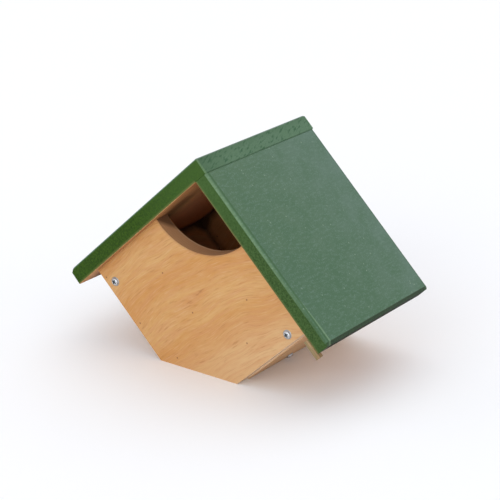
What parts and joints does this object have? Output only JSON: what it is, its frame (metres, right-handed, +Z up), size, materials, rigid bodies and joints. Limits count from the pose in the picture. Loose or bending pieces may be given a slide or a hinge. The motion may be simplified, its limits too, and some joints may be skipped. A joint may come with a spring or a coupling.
{
  "type": "open-fronted diamond nest box",
  "caption": "Diamond-shaped plywood nest box with a green butt-jointed ridge roof and a curved open front for small birds.",
  "frame": {"origin": "middle of the flat underside, on the plane the box stands on", "axes": "+Z up, -Y out of the open front, +X to the right seen from the front"},
  "size_m": [0.2836, 0.17, 0.2054],
  "materials": {
    "roof_paint": "satin green exterior paint on plywood, undersides bare",
    "plywood": "bare light orange tropical-faced plywood, fine sanded",
    "screw_zinc": "bright zinc-plated pan-head screws"
  },
  "bodies": {
    "root": {"roof_left": "roof_paint", "roof_right": "roof_paint", "front_panel": "plywood", "back_panel": "plywood", "wall_left": "plywood", "wall_right": "plywood", "floor_board": "plywood", "eaves_cleat": "plywood"}
  },
  "joints": []
}
